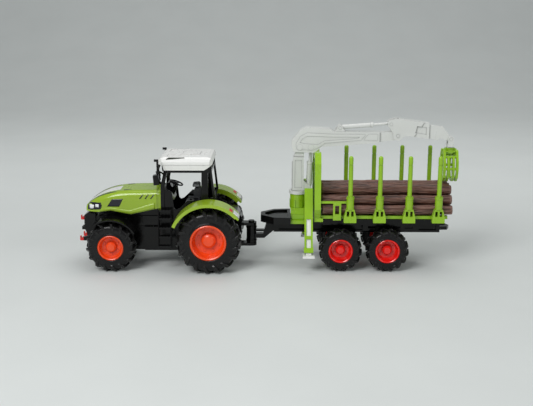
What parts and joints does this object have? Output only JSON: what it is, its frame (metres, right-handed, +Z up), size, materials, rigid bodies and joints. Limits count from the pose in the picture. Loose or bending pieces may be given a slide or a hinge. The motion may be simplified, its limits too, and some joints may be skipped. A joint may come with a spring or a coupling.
{
  "type": "toy tractor",
  "caption": "Toy tractor with open cab, steered front wheels and geared rear axle, hitched to a tandem timber wagon with stakes, log load, outriggers and a slewing grapple crane.",
  "frame": {"origin": "on the ground under the middle of the whole toy", "axes": "-X nose of the tractor, +X tail of the wagon, -Y left side, +Z up"},
  "size_m": [0.435, 0.108, 0.1703],
  "materials": {
    "green_plastic": "moulded, satin gloss",
    "lime_paint": "moulded, satin",
    "black_plastic": "moulded, satin",
    "white_plastic": "moulded, gloss",
    "grey_plastic": "moulded, satin",
    "rim_orange": "moulded, gloss",
    "rim_red": "moulded, gloss",
    "tyre_rubber": "matt",
    "lens_clear": "clear, gloss",
    "hook_red": "moulded, gloss",
    "seat_vinyl": "moulded, soft satin",
    "bark_brown": "moulded bark, matt",
    "bright_steel": "bright",
    "pin_brass": "machined",
    "gear_nylon": "natural nylon",
    "motor_can": "plated can",
    "cell_wrap": "shrink wrap",
    "board_green": "solder mask",
    "screw_zinc": "zinc plated"
  },
  "bodies": {
    "tractor": {"chassis_tub": "black_plastic", "engine_block": "black_plastic", "hood": "green_plastic", "lamp_lenses": "lens_clear", "front_weight": "black_plastic", "front_hooks": "hook_red", "cab_body": "black_plastic", "cab_frame": "black_plastic", "cab_roof": "white_plastic", "driver_seat": "seat_vinyl", "rear_fenders": "green_plastic", "mirrors": "black_plastic", "exhaust_stack": "black_plastic", "step_ladders": "black_plastic", "rear_hitch": "black_plastic", "battery_door": "black_plastic", "battery_pack": "cell_wrap", "circuit_board": "board_green", "drive_motor": "motor_can", "chassis_screws": "screw_zinc", "front_axle_beam": "black_plastic"},
    "knuckle_left": {"knuckle_left": "black_plastic"},
    "knuckle_right": {"knuckle_right": "black_plastic"},
    "tie_rod": {"tie_rod": "black_plastic"},
    "front_wheel_left": {"front_rim_left": "rim_orange", "front_tyre_left": "tyre_rubber"},
    "front_wheel_right": {"front_rim_right": "rim_orange", "front_tyre_right": "tyre_rubber"},
    "rear_axle": {"rear_axle_shaft": "bright_steel", "rear_rims": "rim_orange", "rear_tyres": "tyre_rubber", "axle_gear": "gear_nylon"},
    "idler": {"idler_gear": "gear_nylon"},
    "pinion": {"motor_pinion": "pin_brass"},
    "steering_wheel": {"steering_wheel": "black_plastic"},
    "power_switch": {"power_switch": "black_plastic"},
    "wagon": {"wagon_chassis": "black_plastic", "drawbar": "black_plastic", "bed_frame": "lime_paint", "stakes": "lime_paint", "headboard": "lime_paint", "logs": "bark_brown", "crane_base": "lime_paint"},
    "wagon_axle_front": {"wagon_front_rims": "rim_red", "wagon_front_tyres": "tyre_rubber"},
    "wagon_axle_rear": {"wagon_rear_rims": "rim_red", "wagon_rear_tyres": "tyre_rubber"},
    "outrigger_left": {"outrigger_leg_left": "white_plastic"},
    "outrigger_right": {"outrigger_leg_right": "white_plastic"},
    "crane_column": {"crane_column": "grey_plastic"},
    "main_boom": {"main_boom": "grey_plastic"},
    "lift_barrel": {"lift_barrel": "grey_plastic"},
    "lift_rod": {"lift_rod": "grey_plastic"},
    "jib": {"jib": "grey_plastic"},
    "jib_barrel": {"jib_barrel": "grey_plastic"},
    "jib_rod": {"jib_rod": "grey_plastic"},
    "grapple_link": {"grapple_link": "grey_plastic"},
    "grapple_head": {"grapple_head": "lime_paint"},
    "claw_left": {"claw_left": "lime_paint"},
    "claw_right": {"claw_right": "lime_paint"}
  },
  "joints": [
    {"name": "steer_left", "type": "hinge", "parent": "tractor", "child": "knuckle_left", "pos_m": [-0.176, -0.024, 0.0285], "axis": [0, 0, 1], "range_deg": [-20, 20]},
    {"name": "steer_right", "type": "hinge", "parent": "tractor", "child": "knuckle_right", "pos_m": [-0.176, 0.024, 0.0285], "axis": [0, 0, 1], "range_deg": [-20, 20]},
    {"name": "tie_rod_slide", "type": "slide", "parent": "tractor", "child": "tie_rod", "axis": [0, 1, 0], "range_m": [-0.0032, 0.0032]},
    {"name": "front_wheel_left_spin", "type": "hinge", "parent": "knuckle_left", "child": "front_wheel_left", "pos_m": [-0.176, -0.035, 0.0285], "axis": [0, 1, 0], "continuous": true},
    {"name": "front_wheel_right_spin", "type": "hinge", "parent": "knuckle_right", "child": "front_wheel_right", "pos_m": [-0.176, 0.035, 0.0285], "axis": [0, 1, 0], "continuous": true},
    {"name": "rear_axle_spin", "type": "hinge", "parent": "tractor", "child": "rear_axle", "pos_m": [-0.065, 0, 0.037], "axis": [0, 1, 0], "continuous": true},
    {"name": "idler_spin", "type": "hinge", "parent": "tractor", "child": "idler", "pos_m": [-0.0794, 0, 0.037], "axis": [0, 1, 0], "continuous": true},
    {"name": "pinion_spin", "type": "hinge", "parent": "tractor", "child": "pinion", "pos_m": [-0.0932, 0, 0.037], "axis": [0, 1, 0], "continuous": true},
    {"name": "steering_wheel_turn", "type": "hinge", "parent": "tractor", "child": "steering_wheel", "pos_m": [-0.1048, 0, 0.0945], "axis": [0.342, 0, 0.9397], "continuous": true},
    {"name": "power_switch_slide", "type": "slide", "parent": "tractor", "child": "power_switch", "axis": [1, 0, 0], "range_m": [0, 0.003]},
    {"name": "hitch_yaw", "type": "hinge", "parent": "tractor", "child": "wagon", "pos_m": [-0.018, 0, 0.034], "axis": [0, 0, 1], "range_deg": [-30, 30]},
    {"name": "wagon_front_axle_spin", "type": "hinge", "parent": "wagon", "child": "wagon_axle_front", "pos_m": [0.084, 0, 0.0245], "axis": [0, 1, 0], "continuous": true},
    {"name": "wagon_rear_axle_spin", "type": "hinge", "parent": "wagon", "child": "wagon_axle_rear", "pos_m": [0.137, 0, 0.0245], "axis": [0, 1, 0], "continuous": true},
    {"name": "outrigger_left_slide", "type": "slide", "parent": "wagon", "child": "outrigger_left", "axis": [0, -0.2926, -0.9562], "range_m": [0, 0.018]},
    {"name": "outrigger_right_slide", "type": "slide", "parent": "wagon", "child": "outrigger_right", "axis": [0, 0.2926, -0.9562], "range_m": [0, 0.018]},
    {"name": "crane_slew", "type": "hinge", "parent": "wagon", "child": "crane_column", "pos_m": [0.036, 0, 0.085], "axis": [0, 0, 1], "range_deg": [-120, 120]},
    {"name": "boom_lift", "type": "hinge", "parent": "crane_column", "child": "main_boom", "pos_m": [0.0378, 0, 0.1376], "axis": [0, -1, 0], "range_deg": [0, 32]},
    {"name": "lift_barrel_tilt", "type": "hinge", "parent": "crane_column", "child": "lift_barrel", "pos_m": [0.0485, 0, 0.0903], "axis": [0, -1, 0], "range_deg": [0, 1.98]},
    {"name": "lift_rod_slide", "type": "slide", "parent": "lift_barrel", "child": "lift_rod", "axis": [0.038, 0, 0.9993], "range_m": [0, 0.0067]},
    {"name": "jib_fold", "type": "hinge", "parent": "main_boom", "child": "jib", "pos_m": [0.1487, 0, 0.1509], "axis": [0, -1, 0], "range_deg": [0, 25]},
    {"name": "jib_barrel_tilt", "type": "hinge", "parent": "main_boom", "child": "jib_barrel", "pos_m": [0.0831, 0, 0.1597], "axis": [0, -1, 0], "range_deg": [-4.41, 0]},
    {"name": "jib_rod_slide", "type": "slide", "parent": "jib_barrel", "child": "jib_rod", "axis": [0.9971, 0, 0.0763], "range_m": [-0.00519, 0]},
    {"name": "grapple_swing", "type": "hinge", "parent": "jib", "child": "grapple_link", "pos_m": [0.209, 0, 0.1469], "axis": [0, 1, 0], "range_deg": [-25, 25]},
    {"name": "grapple_rotate", "type": "hinge", "parent": "grapple_link", "child": "grapple_head", "pos_m": [0.209, 0, 0.135], "axis": [0, 0, 1], "continuous": true},
    {"name": "claw_right_open", "type": "hinge", "parent": "grapple_head", "child": "claw_right", "pos_m": [0.209, 0.005, 0.1326], "axis": [1, 0, 0], "range_deg": [0, 35]},
    {"name": "claw_left_open", "type": "hinge", "parent": "grapple_head", "child": "claw_left", "pos_m": [0.209, -0.005, 0.1326], "axis": [1, 0, 0], "range_deg": [-35, 0]}
  ],
  "couplings": [
    {"joint": "steer_right", "follows": "steer_left", "ratio": 1},
    {"joint": "tie_rod_slide", "follows": "steer_left", "m_per_rad": 0.008892},
    {"joint": "idler_spin", "follows": "rear_axle_spin", "ratio": -3},
    {"joint": "pinion_spin", "follows": "rear_axle_spin", "ratio": 10.8},
    {"joint": "lift_barrel_tilt", "follows": "boom_lift", "ratio": 0.061765},
    {"joint": "lift_rod_slide", "follows": "boom_lift", "m_per_rad": 0.011976},
    {"joint": "jib_barrel_tilt", "follows": "jib_fold", "ratio": -0.17609},
    {"joint": "jib_rod_slide", "follows": "jib_fold", "m_per_rad": -0.011887},
    {"joint": "claw_left_open", "follows": "claw_right_open", "ratio": -1}
  ]
}
